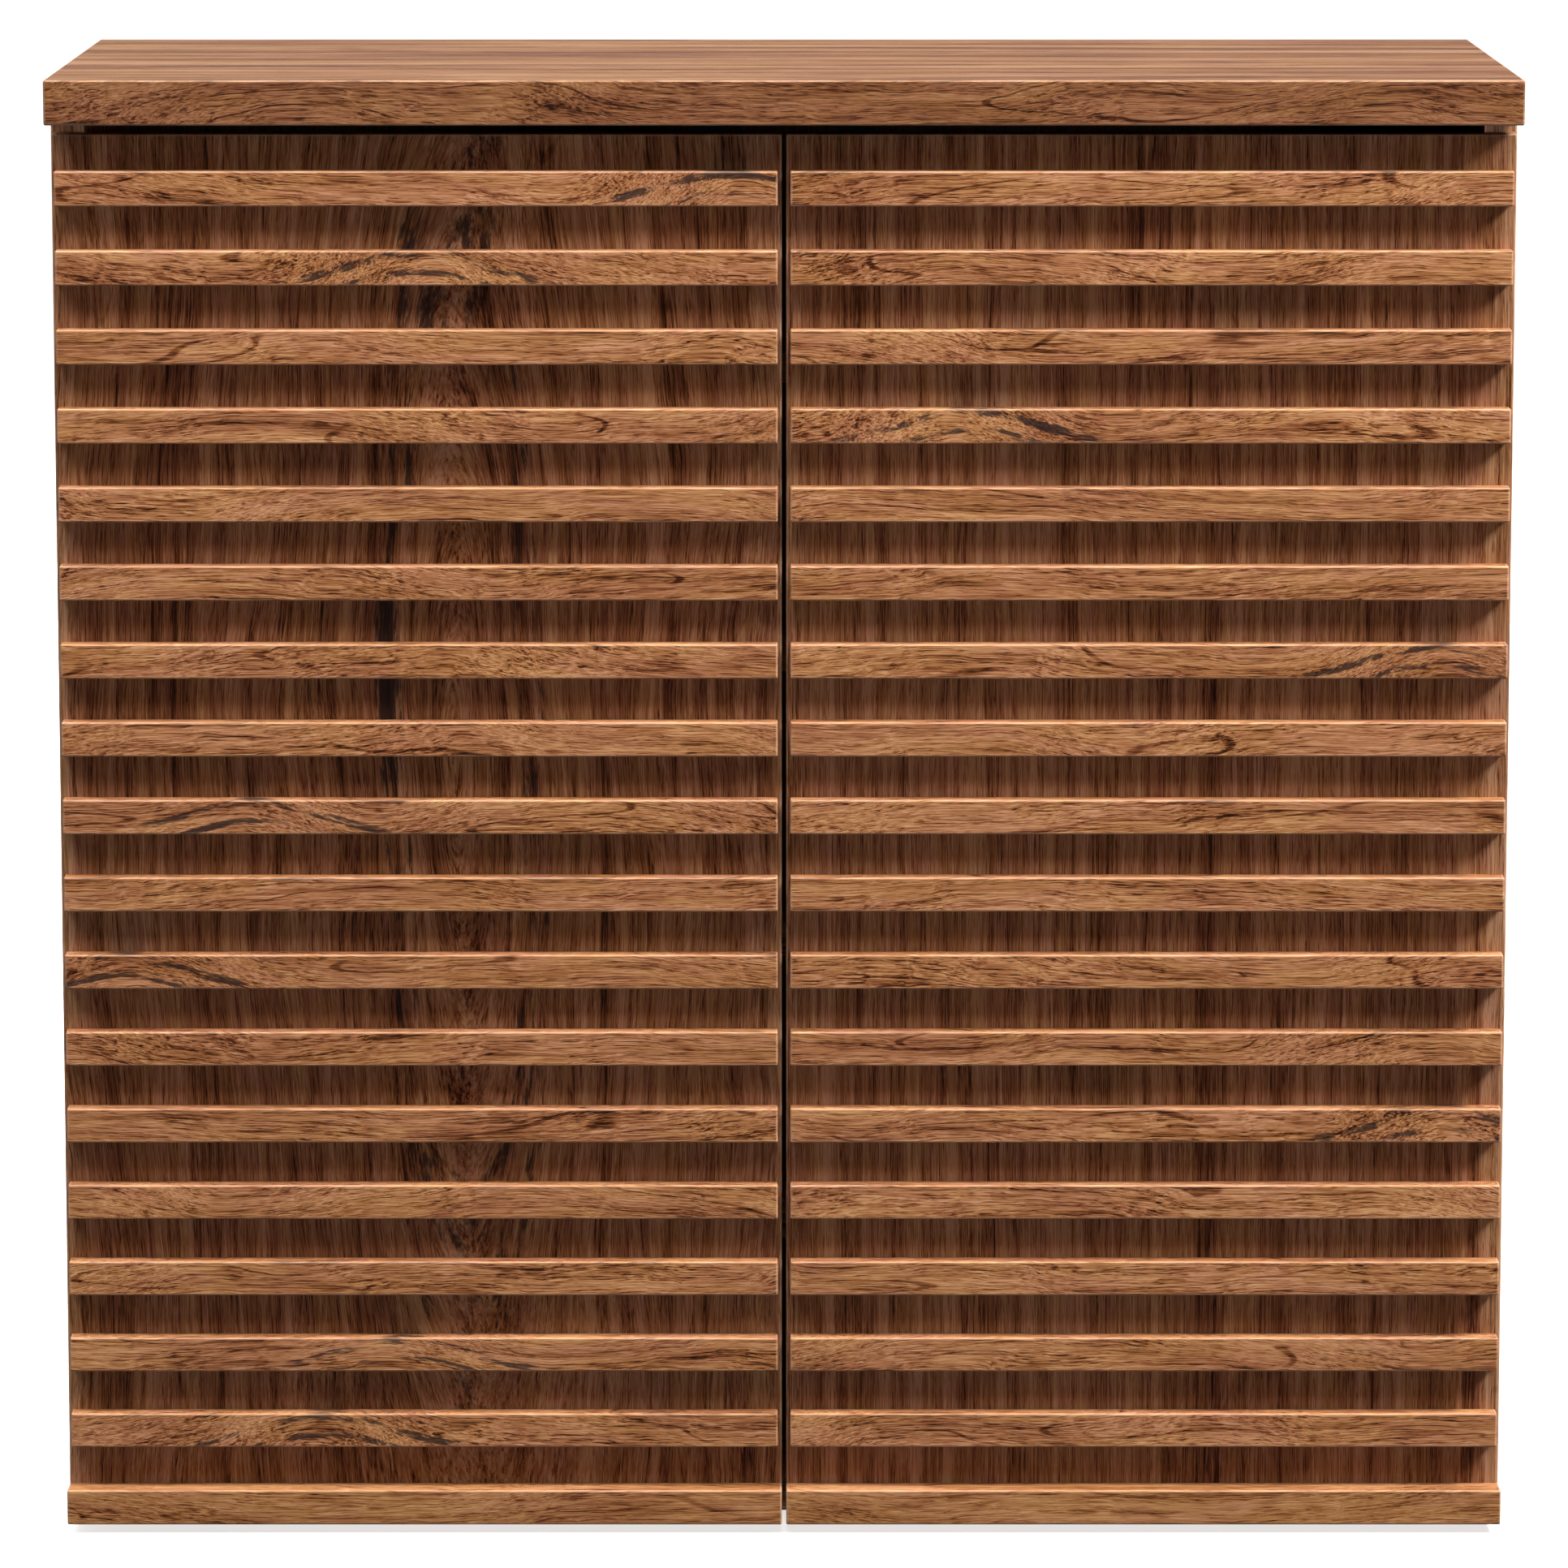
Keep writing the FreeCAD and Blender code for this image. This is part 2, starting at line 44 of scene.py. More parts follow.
class Graph:
    """The node tree of a material or world, with one short method for each kind of node used."""

    def __init__(self, owner):
        self.owner = owner
        owner.use_nodes = True
        self.tree = owner.node_tree
        self.tree.nodes.clear()

    def add(self, kind, inputs=None, **settings):
        node = self.tree.nodes.new(kind)
        for key, value in settings.items():
            setattr(node, key, value)
        for key, value in (inputs or {}).items():
            self.plug(node.inputs[key], value)
        return node

    def plug(self, socket, value):
        if isinstance(value, bpy.types.NodeSocket):
            self.tree.links.new(value, socket)
        else:
            socket.default_value = value

    def math(self, operation, first, second=0.0):
        return self.add("ShaderNodeMath", {0: first, 1: second}, operation=operation).outputs[0]

    def add_up(self, first, second):
        return self.math("ADD", first, second)

    def times(self, first, second):
        return self.math("MULTIPLY", first, second)

    def vector(self, x, y, z):
        return self.add("ShaderNodeCombineXYZ", {0: x, 1: y, 2: z}).outputs[0]

    def axes(self, vector):
        return self.add("ShaderNodeSeparateXYZ", {0: vector}).outputs

    def scaled(self, vector, scale):
        inputs = {0: vector, 1: scale}
        return self.add("ShaderNodeVectorMath", inputs, operation="MULTIPLY").outputs[0]

    def place(self):
        """Return the point's place in metres."""
        return self.add("ShaderNodeTexCoord").outputs["Object"]

    def place_mm(self):
        """Return the point's place in millimetres."""
        return self.scaled(self.place(), (MM_PER_M,) * 3)

    def noise(self, vector, scale=1.0, detail=2.0, roughness=0.5):
        inputs = {"Vector": vector, "Scale": scale, "Detail": detail, "Roughness": roughness}
        return self.add("ShaderNodeTexNoise", inputs).outputs["Fac"]

    def remap(self, value, low, high, out_low, out_high, curve="LINEAR"):
        inputs = {0: value, 1: low, 2: high, 3: out_low, 4: out_high}
        return self.add("ShaderNodeMapRange", inputs, interpolation_type=curve).outputs[0]

    def step(self, value, low, high, out_low=0.0, out_high=1.0):
        return self.remap(value, low, high, out_low, out_high, "SMOOTHSTEP")

    def mix(self, factor, first, second, blend="MIX"):
        inputs = {0: factor, 6: first, 7: second}
        return self.add("ShaderNodeMix", inputs, data_type="RGBA", blend_type=blend).outputs[2]

    def ramp(self, value, stops):
        """Return the colour that value picks from (place, colour) stops, the first at 0."""
        node = self.add("ShaderNodeValToRGB", {0: value})
        elements = node.color_ramp.elements
        elements.remove(elements[1])
        elements[0].color = stops[0][1]
        for at, colour in stops[1:]:
            elements.new(at).color = colour
        return node.outputs[0]

    def finish(self, colour, roughness, height=None, bump=0.0, **own):
        """Join a principled shader; height is in millimetres, own holds its other inputs."""
        shader = self.add("ShaderNodeBsdfPrincipled", {"Base Color": colour, "Roughness": roughness})
        for key, value in own.items():
            self.plug(shader.inputs[key.replace("_", " ")], value)
        if height is not None:
            inputs = {"Strength": bump, "Distance": 1 / MM_PER_M, "Height": height}
            self.plug(shader.inputs["Normal"], self.add("ShaderNodeBump", inputs).outputs[0])
        self.add("ShaderNodeOutputMaterial", {0: shader.outputs[0]})
        return self.owner


def new_graph(name):
    """Return the empty graph of a new material."""
    return Graph(bpy.data.materials.new(name))


def opaque(colour):
    """Return an RGB colour as RGBA."""
    return tuple(colour) + (1.0,)


def tint(colour, factor):
    """Return an RGBA colour made lighter or darker."""
    return opaque(channel * factor for channel in colour)


def toned(colour, tone):
    """Return an RGBA colour with each channel times the tone's."""
    return opaque(channel * factor for channel, factor in zip(colour, tone))


# Each foil's print, as a share of the plain tones in red, green and blue
TOP_TONE = (0.43, 0.41, 0.38)
EDGE_TONE = (0.74, 0.72, 0.74)
RAIL_TONE = (0.96, 0.95, 0.89)
SLAT_TONE = (1.02, 0.99, 1.00)
DOOR_TONE = (0.92, 0.99, 1.14)
SIDE_TONE = (0.66, 0.65, 0.70)
FOIL_SHINE = 0.16
TOP_SHINE = 0.26
FOIL_IOR = 1.45
FOIL_BUMP = 0.6

# Walnut tones from the darkest pores to the palest fibres, linear
WALNUT = (
    (0.00, (0.022, 0.006, 0.002)),
    (0.22, (0.110, 0.030, 0.008)),
    (0.50, (0.290, 0.112, 0.043)),
    (0.74, (0.430, 0.198, 0.086)),
    (1.00, (0.600, 0.330, 0.175)),
)
STREAK = (0.026, 0.015, 0.013)
STREAK_STRENGTH = 0.88
GOLD_CAST = (1.02, 1.02, 0.90)
ROSE_CAST = (1.00, 0.96, 0.99)

# The paler colour along the arrises, partly worn foil and partly a painted highlight, how wide it is
# in millimetres, and its patchiness
WORN_AND_HIGHLIGHT = (0.80, 0.53, 0.36)
ARRIS_WIDTH = 1.5
ARRIS_FULL = 0.4
ARRIS_PATCH_SCALE = 60.0

# What a board's foil is like where the board doesn't say otherwise
LOOKS = {
    "level": 0.72,  # how pale the wood is
    "wander": 1.0,  # how far the grain strays
    "fine": 1.0,  # how strong the fibres and short dashes are
    "banding": 0.0,  # how strong the long stripes are
    "stripes": 0.12,  # how many stripes there are in a millimetre
    "arch": None,  # the place, along and across the grain, of a dark arched figure
    "crown": None,  # the place, along and across the grain, of the middle of nested rings
}

# The print's noises: frequency along and across the grain per millimetre, detail, roughness
LAYERS = {
    "stray": (0.0045, 0.010, 1.0, 0.5),
    "ripple": (0.030, 0.060, 2.0, 0.5),
    "zones": (0.008, 0.080, 3.0, 0.55),
    "fibres": (0.034, 1.8, 2.0, 0.7),
    "lines": (0.012, 0.70, 3.0, 0.62),
    "dashes": (0.080, 2.00, 2.0, 0.65),
    "crowd": (0.008, 0.26, 2.0, 0.5),
    "veins": (0.0030, 0.030, 1.0, 0.5),
    "vein_breaks": (0.020, 0.06, 1.0, 0.5),
    "casts": (0.012, 0.065, 2.0, 0.6),
    "smudge": (0.024, 0.20, 4.0, 0.72),
    "patch": (0.0060, 0.015, 1.0, 0.5),
}
BAND_LENGTH = 0.0014

# How far the grain strays, in millimetres, and how much of that shows along the depth
STRAY_REACH = 58.0
RIPPLE_REACH = 3.6
STRAY_IN_DEPTH = 0.6

# How much each layer lightens the wood, or darkens it where negative
ZONE_SWING = 0.64
FIBRE_SWING = 1.60
BAND_SWING = 1.7
LINE_DARKENING = -0.36
DASH_DARKENING = -0.50
VEIN_DARKENING = -0.34
VEIN_REACH = 0.006

# How much lines keep to dark zones, and dashes gather in crowds
LINES_IN_ZONES = -0.30
DASHES_IN_CROWDS = 0.42

# How far apart on the print two boards are, along and across, for each unit of seed
SEED_LENGTH = 731.0
SEED_WIDTH = 89.0

# An arched figure: height and half width in millimetres, then the place of each of its two
# dark lines as a share of the height with its half thickness, and how dark they are
ARCH_RISE = 18.0
ARCH_HALF_WIDTH = 52.0
ARCH_OUTER = (0.55, 4.2)
ARCH_INNER = (1.10, 3.4)
ARCH_ENDS = 1.9
ARCH_DARKENING = -0.43

# Nested rings: how slender they are, the blunting of the innermost, the half width and half
# thickness of the darkest one in millimetres, how dark it is, and how the grain turns in
RING_SLENDER = 0.13
RING_BLUNTING = 30.0
DARK_RING = 40.0
DARK_RING_REACH = 16.0
RING_DARKENING = -0.36
RING_TURN = 0.3

EULER = 2.718


def bell(g, value):
    """Return a smooth hump, 1 where value is 0."""
    return g.math("POWER", EULER, g.times(g.times(value, value), -1.0))


def near(g, value, reach, soft=0.35):
    """Return 1 where value is close to 0, fading out at reach."""
    return g.step(g.math("ABSOLUTE", value), reach, reach * soft)


def swing(g, noise, amount):
    """Return a noise spread evenly to both sides of 0."""
    return g.times(g.add_up(noise, -0.5), amount)


def layer(g, grain, name):
    """Return one of the print's noises, drawn out along the grain."""
    along, across, detail, roughness = LAYERS[name]
    return g.noise(g.scaled(grain, (along, across, across)), detail=detail, roughness=roughness)


def veins(g, grain):
    """Return a few long thin lines that meander along the grain."""
    line = near(g, g.add_up(layer(g, grain, "veins"), -0.5), VEIN_REACH)
    return g.times(line, g.step(layer(g, grain, "vein_breaks"), 0.38, 0.56))


def board_places(g, along):
    """Return the places along the grain, across it and into the board, in millimetres."""
    axes = g.axes(g.place_mm())
    order = {"X": (0, 2, 1), "Z": (2, 0, 1)}[along]
    return [axes[index] for index in order]


def arched(g, places, arch):
    """Return the shift that lifts the grain over an arch, and how much its lines darken."""
    along, across, _ = places
    reach = g.times(g.add_up(along, -arch[0]), 1 / ARCH_HALF_WIDTH)
    shift = g.times(bell(g, reach), -ARCH_RISE)
    rank = g.add_up(g.add_up(across, -arch[1]), shift)
    outer = near(g, g.add_up(rank, ARCH_OUTER[0] * ARCH_RISE), ARCH_OUTER[1])
    inner = near(g, g.add_up(rank, ARCH_INNER[0] * ARCH_RISE), ARCH_INNER[1])
    lines = g.times(g.math("MAXIMUM", outer, inner), near(g, reach, ARCH_ENDS, 0.6))
    return shift, g.times(lines, ARCH_DARKENING)


def ringed(g, places, stray, middle):
    """Return the half width of the ring at a point, and how much the dark ring darkens it."""
    along, across, _ = places
    long_way = g.times(g.add_up(along, -middle[0]), RING_SLENDER)
    short_way = g.add_up(g.add_up(across, stray), -middle[1])
    squares = g.add_up(g.times(long_way, long_way), g.times(short_way, short_way))
    ring = g.math("SQRT", g.add_up(squares, RING_BLUNTING))
    dark = near(g, g.add_up(ring, -DARK_RING), DARK_RING_REACH)
    return ring, g.times(dark, RING_DARKENING)


def grain_places(g, places, seed, looks):
    """Return straight and strayed places on the print, and how much a figure darkens them."""
    along, across, depth = places
    length = g.add_up(along, SEED_LENGTH * seed)
    width = g.add_up(across, SEED_WIDTH * seed)
    flow = g.vector(length, width, depth)
    stray = swing(g, layer(g, flow, "stray"), STRAY_REACH * looks["wander"])
    ripple = swing(g, layer(g, flow, "ripple"), RIPPLE_REACH * looks["wander"])
    stray = g.add_up(stray, ripple)
    figure = None
    if looks["arch"]:
        shift, figure = arched(g, places, looks["arch"])
        stray = g.add_up(stray, shift)
    width = g.add_up(width, stray)
    depth = g.add_up(depth, g.times(stray, STRAY_IN_DEPTH))
    if looks["crown"]:
        width, figure = ringed(g, places, stray, looks["crown"])
        depth = g.add_up(depth, g.times(across, RING_TURN))
    return flow, g.vector(length, width, depth), figure


def paleness(g, grain, looks):
    """Return how pale the wood is, and the fibres and dashes that also show as relief."""
    fine = looks["fine"]
    zones = layer(g, grain, "zones")
    fibres = layer(g, grain, "fibres")
    stripes = (BAND_LENGTH, looks["stripes"], looks["stripes"])
    bands = g.noise(g.scaled(grain, stripes), detail=5.0, roughness=0.76)
    pale = g.add_up(swing(g, zones, ZONE_SWING), looks["level"])
    pale = g.add_up(pale, swing(g, fibres, FIBRE_SWING * fine))
    pale = g.add_up(pale, swing(g, bands, BAND_SWING * looks["banding"]))

    lines = g.add_up(layer(g, grain, "lines"), swing(g, zones, LINES_IN_ZONES))
    pale = g.add_up(pale, g.step(lines, 0.50, 0.70, 0.0, LINE_DARKENING * fine))
    crowd = swing(g, layer(g, grain, "crowd"), DASHES_IN_CROWDS)
    dashes = g.step(g.add_up(layer(g, grain, "dashes"), crowd), 0.50, 0.68)
    pale = g.add_up(pale, g.times(dashes, DASH_DARKENING * fine))
    pale = g.add_up(pale, g.times(veins(g, grain), VEIN_DARKENING * looks["wander"]))
    return pale, fibres, dashes


def print_colour(g, pale, grain, tone):
    """Return the walnut tone for a paleness, cast a little towards rose or gold."""
    colour = g.ramp(pale, [(at, toned(shade, tone)) for at, shade in WALNUT])
    gold = g.step(layer(g, grain, "casts"), 0.40, 0.60)
    cast = g.mix(gold, opaque(ROSE_CAST), opaque(GOLD_CAST))
    return g.mix(1.0, colour, cast, "MULTIPLY")


def smudged(g, colour, flow, grain, figure, tone):
    """Return colour with near-black smudges, which follow a figure where there is one."""
    floor = g.step(layer(g, flow, "patch"), 0.58, 0.82, 0.90, 0.60)
    if figure is not None:
        floor = g.add_up(floor, figure)
    above_floor = g.add_up(layer(g, grain, "smudge"), g.times(floor, -1.0))
    streak = g.step(above_floor, -0.04, 0.10)
    return g.mix(g.times(streak, STREAK_STRENGTH), colour, toned(STREAK, tone))


def walnut_look(g, along, seed, tone, **own):
    """Return colour, roughness and height of walnut-look foil with its grain along one axis.

    tone is the print's tone, and own holds what differs from LOOKS on this board.
    """
    looks = {**LOOKS, **own}
    flow, grain, figure = grain_places(g, board_places(g, along), seed, looks)
    pale, fibres, dashes = paleness(g, grain, looks)
    colour = print_colour(g, pale, grain, tone)
    colour = smudged(g, colour, flow, grain, figure, tone)
    roughness = g.step(fibres, 0.3, 0.7, 0.46, 0.34)
    height = g.add_up(g.times(fibres, 0.02), g.times(dashes, -0.05))
    return colour, roughness, height


def arris_wear_and_highlight(g, colour, box):
    """Return colour turned paler where a board's foil folds over its arrises: partly wear, partly a
    painted highlight along them.
    """
    place = g.place()
    axes = g.axes(place)
    depths = []
    for index in range(3):
        middle = (box[0][index] + box[1][index]) / 2
        half = (box[1][index] - box[0][index]) / 2
        off_middle = g.math("ABSOLUTE", g.add_up(axes[index], -middle))
        depths.append(g.times(g.add_up(off_middle, -half), -MM_PER_M))
    small = g.math("MINIMUM", depths[0], depths[1])
    large = g.math("MAXIMUM", depths[0], depths[1])
    to_arris = g.math("MAXIMUM", small, g.math("MINIMUM", large, depths[2]))
    arris_patches = g.noise(g.scaled(place, (ARRIS_PATCH_SCALE,) * 3), detail=3.0)
    strength = g.step(arris_patches, 0.25, 0.65, 0.08, 0.34)
    amount = g.times(g.step(to_arris, ARRIS_WIDTH, ARRIS_FULL), strength)
    # Paler arrises: part wear, part painted highlight
    return g.mix(amount, colour, opaque(WORN_AND_HIGHLIGHT))


def foil(g, look, box, shine):
    """Return a board's material from its colour, roughness and height."""
    colour, roughness, height = look
    settings = {"bump": FOIL_BUMP, "IOR": FOIL_IOR, "Specular_IOR_Level": shine}
    # The arrises get their paler band, partly wear and partly a painted highlight
    return g.finish(arris_wear_and_highlight(g, colour, box), roughness, height, **settings)


def walnut(name, along, seed, box, **looks):
    """Return one board's walnut-look foil."""
    g = new_graph(name)
    return foil(g, walnut_look(g, along, seed, **looks), box, FOIL_SHINE)


def top_walnut(name):
    """Return the top board's foils: a straight-grained face and a figured edge band."""
    g = new_graph(name)
    plain = {"wander": 0.4, "fine": 0.35, "banding": 1.5, "stripes": 0.045}
    figured = {"level": 0.62, "wander": 1.3, "fine": 0.85}
    face = walnut_look(g, "X", 1.0, TOP_TONE, **plain)
    edge = walnut_look(g, "X", 1.6, EDGE_TONE, **figured)
    upward = g.axes(g.add("ShaderNodeTexCoord").outputs["Normal"])[2]
    on_face = g.step(g.math("ABSOLUTE", upward), 0.55, 0.85)
    look = [g.mix(on_face, *pair) for pair in zip(edge, face)]
    return foil(g, look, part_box("top_panel"), TOP_SHINE)


# Colours of the back, the dowels and the fittings, linear
BOARD_DARK = (0.09, 0.035, 0.017)
BOARD_PALE = (0.20, 0.085, 0.042)
BEECH_DARK = (0.52, 0.34, 0.19)
BEECH_PALE = (0.66, 0.47, 0.29)
NICKEL = (0.55, 0.54, 0.51)
ZINC = (0.46, 0.47, 0.49)
BRIGHT_STEEL = (0.66, 0.65, 0.63)
LATCH_BLACK = (0.03, 0.028, 0.026)
PLUNGER_GREY = (0.09, 0.085, 0.08)
GLIDE_BLACK = (0.022, 0.022, 0.022)

# How metallic the plating is; the rest scatters light, so it isn't black in the open cabinet
METALLIC = 0.65


def fibreboard(name):
    """Return the printed brown face of thin fibreboard."""
    g = new_graph(name)
    place = g.place_mm()
    specks = g.noise(place, scale=0.9, detail=4.0, roughness=0.7)
    lines = g.noise(g.scaled(place, (0.9, 0.9, 0.014)), detail=3.0, roughness=0.6)
    cloud = g.noise(place, scale=0.006, detail=2.0)
    value = g.add_up(g.times(specks, 0.3), g.add_up(g.times(lines, 0.5), g.times(cloud, 0.2)))
    colour = g.mix(g.step(value, 0.38, 0.62), opaque(BOARD_DARK), opaque(BOARD_PALE))
    return g.finish(colour, g.step(specks, 0.3, 0.7, 0.75, 0.6), specks, bump=0.12)


def steel(name, colour, brushed=(0.05, 3.0, 0.05), roughness=0.36):
    """Return plated steel with fine rolling marks and a few cloudy patches."""
    g = new_graph(name)
    place = g.place_mm()
    marks = g.noise(g.scaled(place, brushed), detail=3.0, roughness=0.6)
    cloud = g.noise(place, scale=0.25, detail=2.0)
    mixed = g.add_up(g.times(marks, 0.6), g.times(cloud, 0.4))
    shade = g.mix(g.step(mixed, 0.35, 0.65), tint(colour, 0.78), tint(colour, 1.08))
    rough = g.step(mixed, 0.3, 0.7, roughness - 0.08, roughness + 0.12)
    return g.finish(shade, rough, marks, bump=0.08, Metallic=METALLIC)


def plastic(name, colour, roughness=0.5):
    """Return moulded plastic with a fine spark-eroded grain."""
    g = new_graph(name)
    place = g.place_mm()
    grain = g.noise(place, scale=2.2, detail=2.0)
    cloud = g.noise(place, scale=0.08, detail=2.0)
    shade = g.mix(g.step(cloud, 0.35, 0.65), tint(colour, 0.85), tint(colour, 1.2))
    rough = g.step(grain, 0.3, 0.7, roughness - 0.06, roughness + 0.08)
    return g.finish(shade, rough, grain, bump=0.15)


def beech(name):
    """Return turned beech with short flecks along the dowel."""
    g = new_graph(name)
    flecks = g.noise(g.scaled(g.place_mm(), (1.4, 1.4, 0.3)), detail=3.0)
    colour = g.mix(g.step(flecks, 0.4, 0.6), opaque(BEECH_DARK), opaque(BEECH_PALE))
    return g.finish(colour, g.step(flecks, 0.3, 0.7, 0.7, 0.6), flecks, bump=0.1)


SHARP_ANGLE = math.radians(40)


def smooth(name):
    """Round off the shading of a CAD node's curved faces."""
    mesh = NODES[name].data
    mesh.shade_smooth()
    mesh.set_sharp_from_angle(angle=SHARP_ANGLE)


def paint(name, material):
    """Give a CAD node its material."""
    slots = NODES[name].data.materials
    slots.clear()
    slots.append(material)


# Slats with a dark arched figure, and its place from the left end as a share of the length
ARCHES = {
    "slat_left_01": 0.93,
    "slat_left_02": 0.50,
    "slat_left_09": 0.27,
    "slat_left_11": 0.08,
    "slat_left_16": 0.47,
    "slat_left_17": 0.36,
    "slat_right_04": 0.25,
    "slat_right_07": 0.90,
    "slat_right_13": 0.92,
}

# The middle of the left door's nested rings, as a share of its width and height
CROWN = 0.56


def arch_place(name):
    """Return the place of a slat's arched figure, along and across, or None."""
    if name not in ARCHES:
        return None
    low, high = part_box(name)
    along = low.x + ARCHES[name] * (high.x - low.x)
    return MM_PER_M * along, MM_PER_M * (low.z + high.z) / 2


def crown_place(node):
    """Return the middle of a door's nested rings, along and across."""
    low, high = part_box(node)
    across = low.x + CROWN * (high.x - low.x)
    return MM_PER_M * (low.z + CROWN * (high.z - low.z)), MM_PER_M * across


def paint_upright(node, seed, tone, wander=0.12, crown=None):
    """Give a door or side its striped foil, with the grain upright."""
    looks = {"tone": tone, "wander": wander, "fine": 0.75, "banding": 1.15, "crown": crown}
    paint(node, walnut(node.replace("panel", "walnut"), "Z", seed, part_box(node), **looks))


def paint_level(node, foil_name, seed, **looks):
    """Give a board its foil, with the grain from left to right."""
    paint(node, walnut(foil_name, "X", seed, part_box(node), **looks))


def paint_carcass_and_doors():
    """Give the top, sides, rails and door panels their foils; a seed picks where it is cut."""
    paint("top_panel", top_walnut("top_walnut"))
    rail = {"tone": RAIL_TONE, "wander": 0.7, "fine": 0.8}
    for seed, side in enumerate(("left", "right"), start=2):
        paint_upright("side_panel_" + side, 1.7 * seed, SIDE_TONE)
        paint_level("bottom_rail_" + side, "rail_walnut_" + side, 3.1 * seed, **rail)
    crown = crown_place("door_panel_left")
    paint_upright("door_panel_left", 4.6, DOOR_TONE, wander=0.5, crown=crown)
    paint_upright("door_panel_right", 6.9, DOOR_TONE)


def paint_slats_and_shelves():
    """Give each slat, shelf and the bottom its own stretch of foil, and the back its board."""
    for seed, name in enumerate(sorted(n for n in NODES if n.startswith("slat_"))):
        looks = {"tone": SLAT_TONE, "wander": 1.15, "arch": arch_place(name)}
        paint_level(name, name.replace("slat", "walnut"), 5.0 + 1.3 * seed, **looks)
    inner = ["bottom_panel"] + [n for n in NODES if n.startswith("shelf_") and n != "shelf_pins"]
    looks = {"tone": DOOR_TONE, "wander": 0.4, "fine": 0.7, "banding": 0.3}
    for seed, name in enumerate(sorted(inner)):
        paint_level(name, name + "_walnut", 40.0 + 1.9 * seed, **looks)
    paint("back_panel", fibreboard("back_fibreboard"))


def paint_fittings():
    """Give the hinges, latches, screws, dowels and glides their metals, plastics and wood."""
    nickel = steel("nickel_plate", NICKEL)
    zinc = steel("zinc_plate", ZINC, roughness=0.38)
    paint("hinge_arms", nickel)
    paint("hinge_pins", steel("bright_pin", BRIGHT_STEEL, (0.1, 0.1, 2.0), 0.22))
    paint("shelf_pins", zinc)
    paint("wood_screws", zinc)
    paint("carcass_dowels", beech("turned_beech"))
    paint("latch_housings", plastic("latch_plastic", LATCH_BLACK))
    paint("floor_glides", plastic("glide_plastic", GLIDE_BLACK, 0.6))
    plunger = plastic("plunger_plastic", PLUNGER_GREY, 0.42)
    for side in ("left", "right"):
        paint("hinge_cups_" + side, nickel)
        paint("strike_plate_" + side, zinc)
        paint("latch_plunger_" + side, plunger)


# The floor's half width, how far it lies below the glides, and where its glow starts to grow
# and is full, in metres from the middle
FLOOR_SIZE = 30.0
FLOOR_DROP = 0.0002
FLOOR_NEAR = 0.8
FLOOR_FAR = 3.0
FLOOR_GLOW = 0.70
FLOOR_DARK = (0.80, 0.80, 0.80)
FLOOR_PALE = (0.84, 0.84, 0.84)

# What the world sheds from below, above and behind
FLOOR_BOUNCE = 0.24
CEILING = 0.03
BACKDROP = 0.35

# Each softbox: direction from the cabinet, distance, light it sheds on it, width and height
SOFTBOXES = {
    "key_light": ((0.92, -0.26, 0.92), 5.0, 6.6, 3.0, 1.4),
    "strip_light": ((0.0, -0.35, 1.0), 5.0, 4.0, 5.2, 1.25),
    "fill_light": ((-0.70, -0.30, 1.0), 4.0, 1.3, 2.4, 1.5),
    "back_light": ((-0.60, 1.0, 0.25), 4.0, 2.2, 2.5, 2.0),
    "inside_light": ((0.45, -1.0, 0.25), 3.5, 2.1, 1.2, 1.4),
}
LIGHTS_AIM = Vector((0.0, -0.15, 0.42))

# The starts of the names of the nodes that the inside light falls on
INSIDE = ("hinge_", "shelf_", "back_panel", "bottom_panel", "side_panel")


def floor_paint():
    """Return the floor's pale paint; it glows a little, so shadows on it stay faint."""
    g = new_graph("floor_paint")
    place = g.place()
    cloud = g.noise(place, scale=3.0, detail=3.0)
    colour = g.mix(cloud, opaque(FLOOR_DARK), opaque(FLOOR_PALE))
    distance = g.add("ShaderNodeVectorMath", {0: place}, operation="LENGTH").outputs["Value"]
    glow = g.step(distance, FLOOR_NEAR, FLOOR_FAR, FLOOR_GLOW, 1.0)
    return g.finish(
        colour, 0.9, Specular_IOR_Level=0.1, Emission_Color=WHITE, Emission_Strength=glow
    )


def make_floor():
    """Lay the pale floor under the cabinet."""
    mesh = bpy.data.meshes.new("floor")
    around = ((-1, -1), (1, -1), (1, 1), (-1, 1))
    corners = [(FLOOR_SIZE * x, FLOOR_SIZE * y, -FLOOR_DROP) for x, y in around]
    mesh.from_pydata(corners, [], [(0, 1, 2, 3)])
    mesh.materials.append(floor_paint())
    floor = bpy.data.objects.new("floor", mesh)
    bpy.context.scene.collection.objects.link(floor)
    floor.visible_diffuse = False
    floor.visible_glossy = False


def softbox(name):
    """Hang one of the soft lights, turned to the cabinet."""
    towards, distance, irradiance, width, height = SOFTBOXES[name]
    data = bpy.data.lights.new(name, "AREA")
    data.shape = "RECTANGLE"
    data.size = width
    data.size_y = height
    data.energy = irradiance * math.pi * distance**2
    light = bpy.data.objects.new(name, data)
    direction = Vector(towards).normalized()
    light.location = LIGHTS_AIM + distance * direction
    light.rotation_euler = direction.to_track_quat("Z", "Y").to_euler()
    light.visible_camera = False
    bpy.context.scene.collection.objects.link(light)
    return light


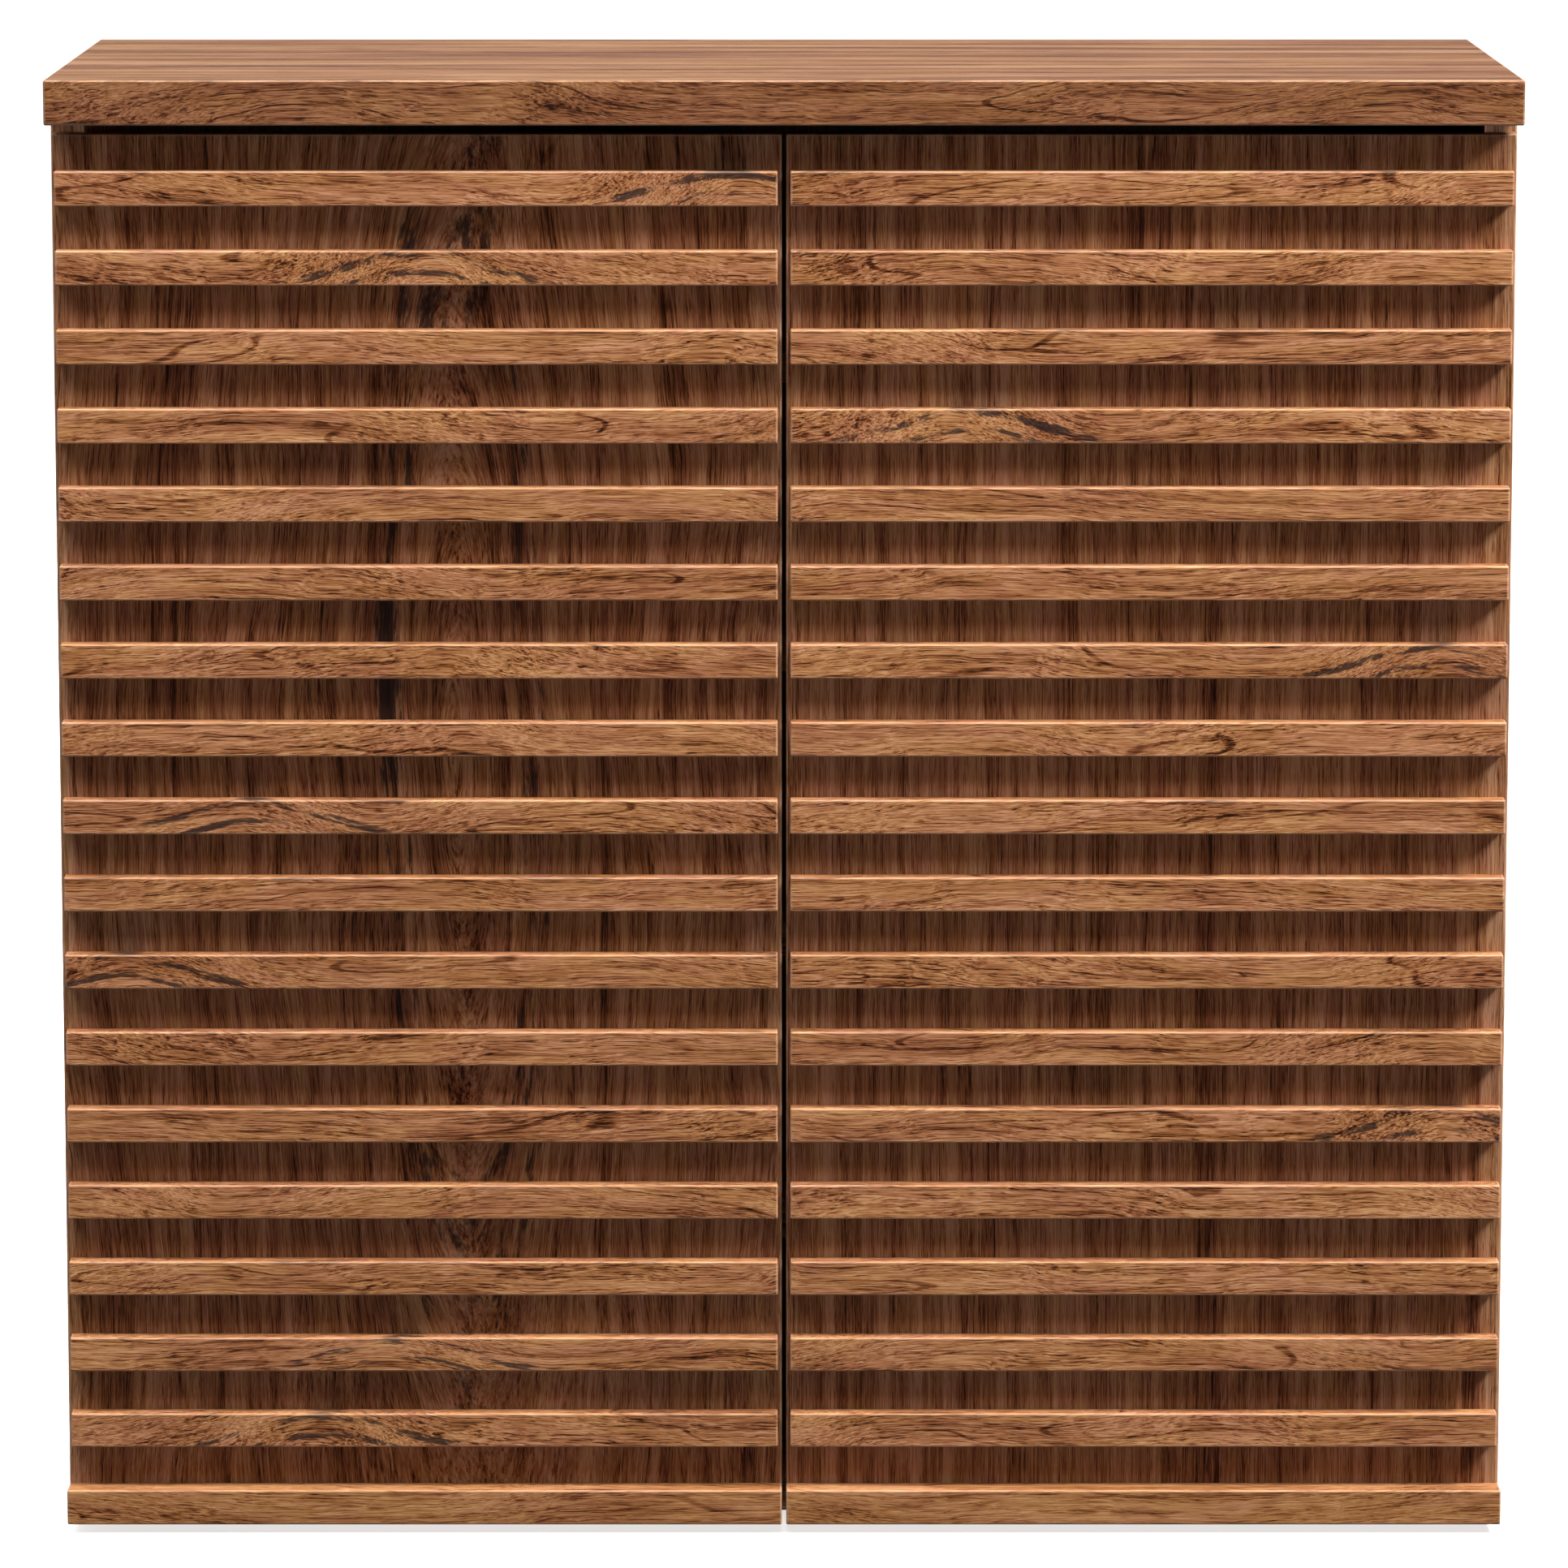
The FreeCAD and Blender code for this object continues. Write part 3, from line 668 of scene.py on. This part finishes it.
def make_inside_light():
    """Throw light from the front on the inside, the hinges and the side boards only."""
    receivers = bpy.data.collections.new("inside")
    for name in NODES:
        if name.startswith(INSIDE):
            receivers.objects.link(NODES[name])
    softbox("inside_light").light_linking.receiver_collection = receivers


def make_sky():
    """Surround the scene with the light that a pale floor sends back up, and a dim ceiling."""
    world = bpy.data.worlds.new("studio")
    bpy.context.scene.world = world
    g = Graph(world)
    axes = g.axes(g.add("ShaderNodeTexCoord").outputs["Generated"])
    from_below = g.remap(axes[2], -0.1, 0.1, FLOOR_BOUNCE, CEILING)
    from_behind = g.remap(axes[1], 0.5, 0.9, 0.0, BACKDROP)
    seen = g.add("ShaderNodeLightPath").outputs["Is Camera Ray"]
    strength = g.add("ShaderNodeMix", {0: seen, 2: g.add_up(from_below, from_behind), 3: 1.0})
    sky = g.add("ShaderNodeBackground", {"Color": WHITE, "Strength": strength.outputs[0]})
    g.add("ShaderNodeOutputWorld", {0: sky.outputs[0]})


def make_lights():
    """Light from high on the right, a wide strip above, less from the left and from behind."""
    for name in ("key_light", "strip_light", "fill_light"):
        softbox(name)
    softbox("back_light").visible_glossy = False
    make_inside_light()
    make_sky()


# The camera's distance from the front and its height in metres, its tilt in degrees and lens
CAMERA_BACK = 4.125
CAMERA_HEIGHT = 1.088
CAMERA_TILT = 8.59
CAMERA_LENS = 175.4
CAMERA_SHIFT = -0.05


def make_camera():
    """Look at the front from a little above, nearly square on."""
    low, high = CAD_BOUNDS
    data = bpy.data.cameras.new("camera")
    data.lens = CAMERA_LENS
    data.shift_y = CAMERA_SHIFT
    camera = bpy.data.objects.new("camera", data)
    camera.location = ((low.x + high.x) / 2, low.y - CAMERA_BACK, CAMERA_HEIGHT)
    camera.rotation_euler = (math.radians(90 - CAMERA_TILT), 0, 0)
    bpy.context.scene.collection.objects.link(camera)
    bpy.context.scene.camera = camera


for node_name in NODES:
    smooth(node_name)
paint_carcass_and_doors()
paint_slats_and_shelves()
paint_fittings()
make_floor()
make_lights()
make_camera()
bpy.context.scene.view_settings.view_transform = "Standard"
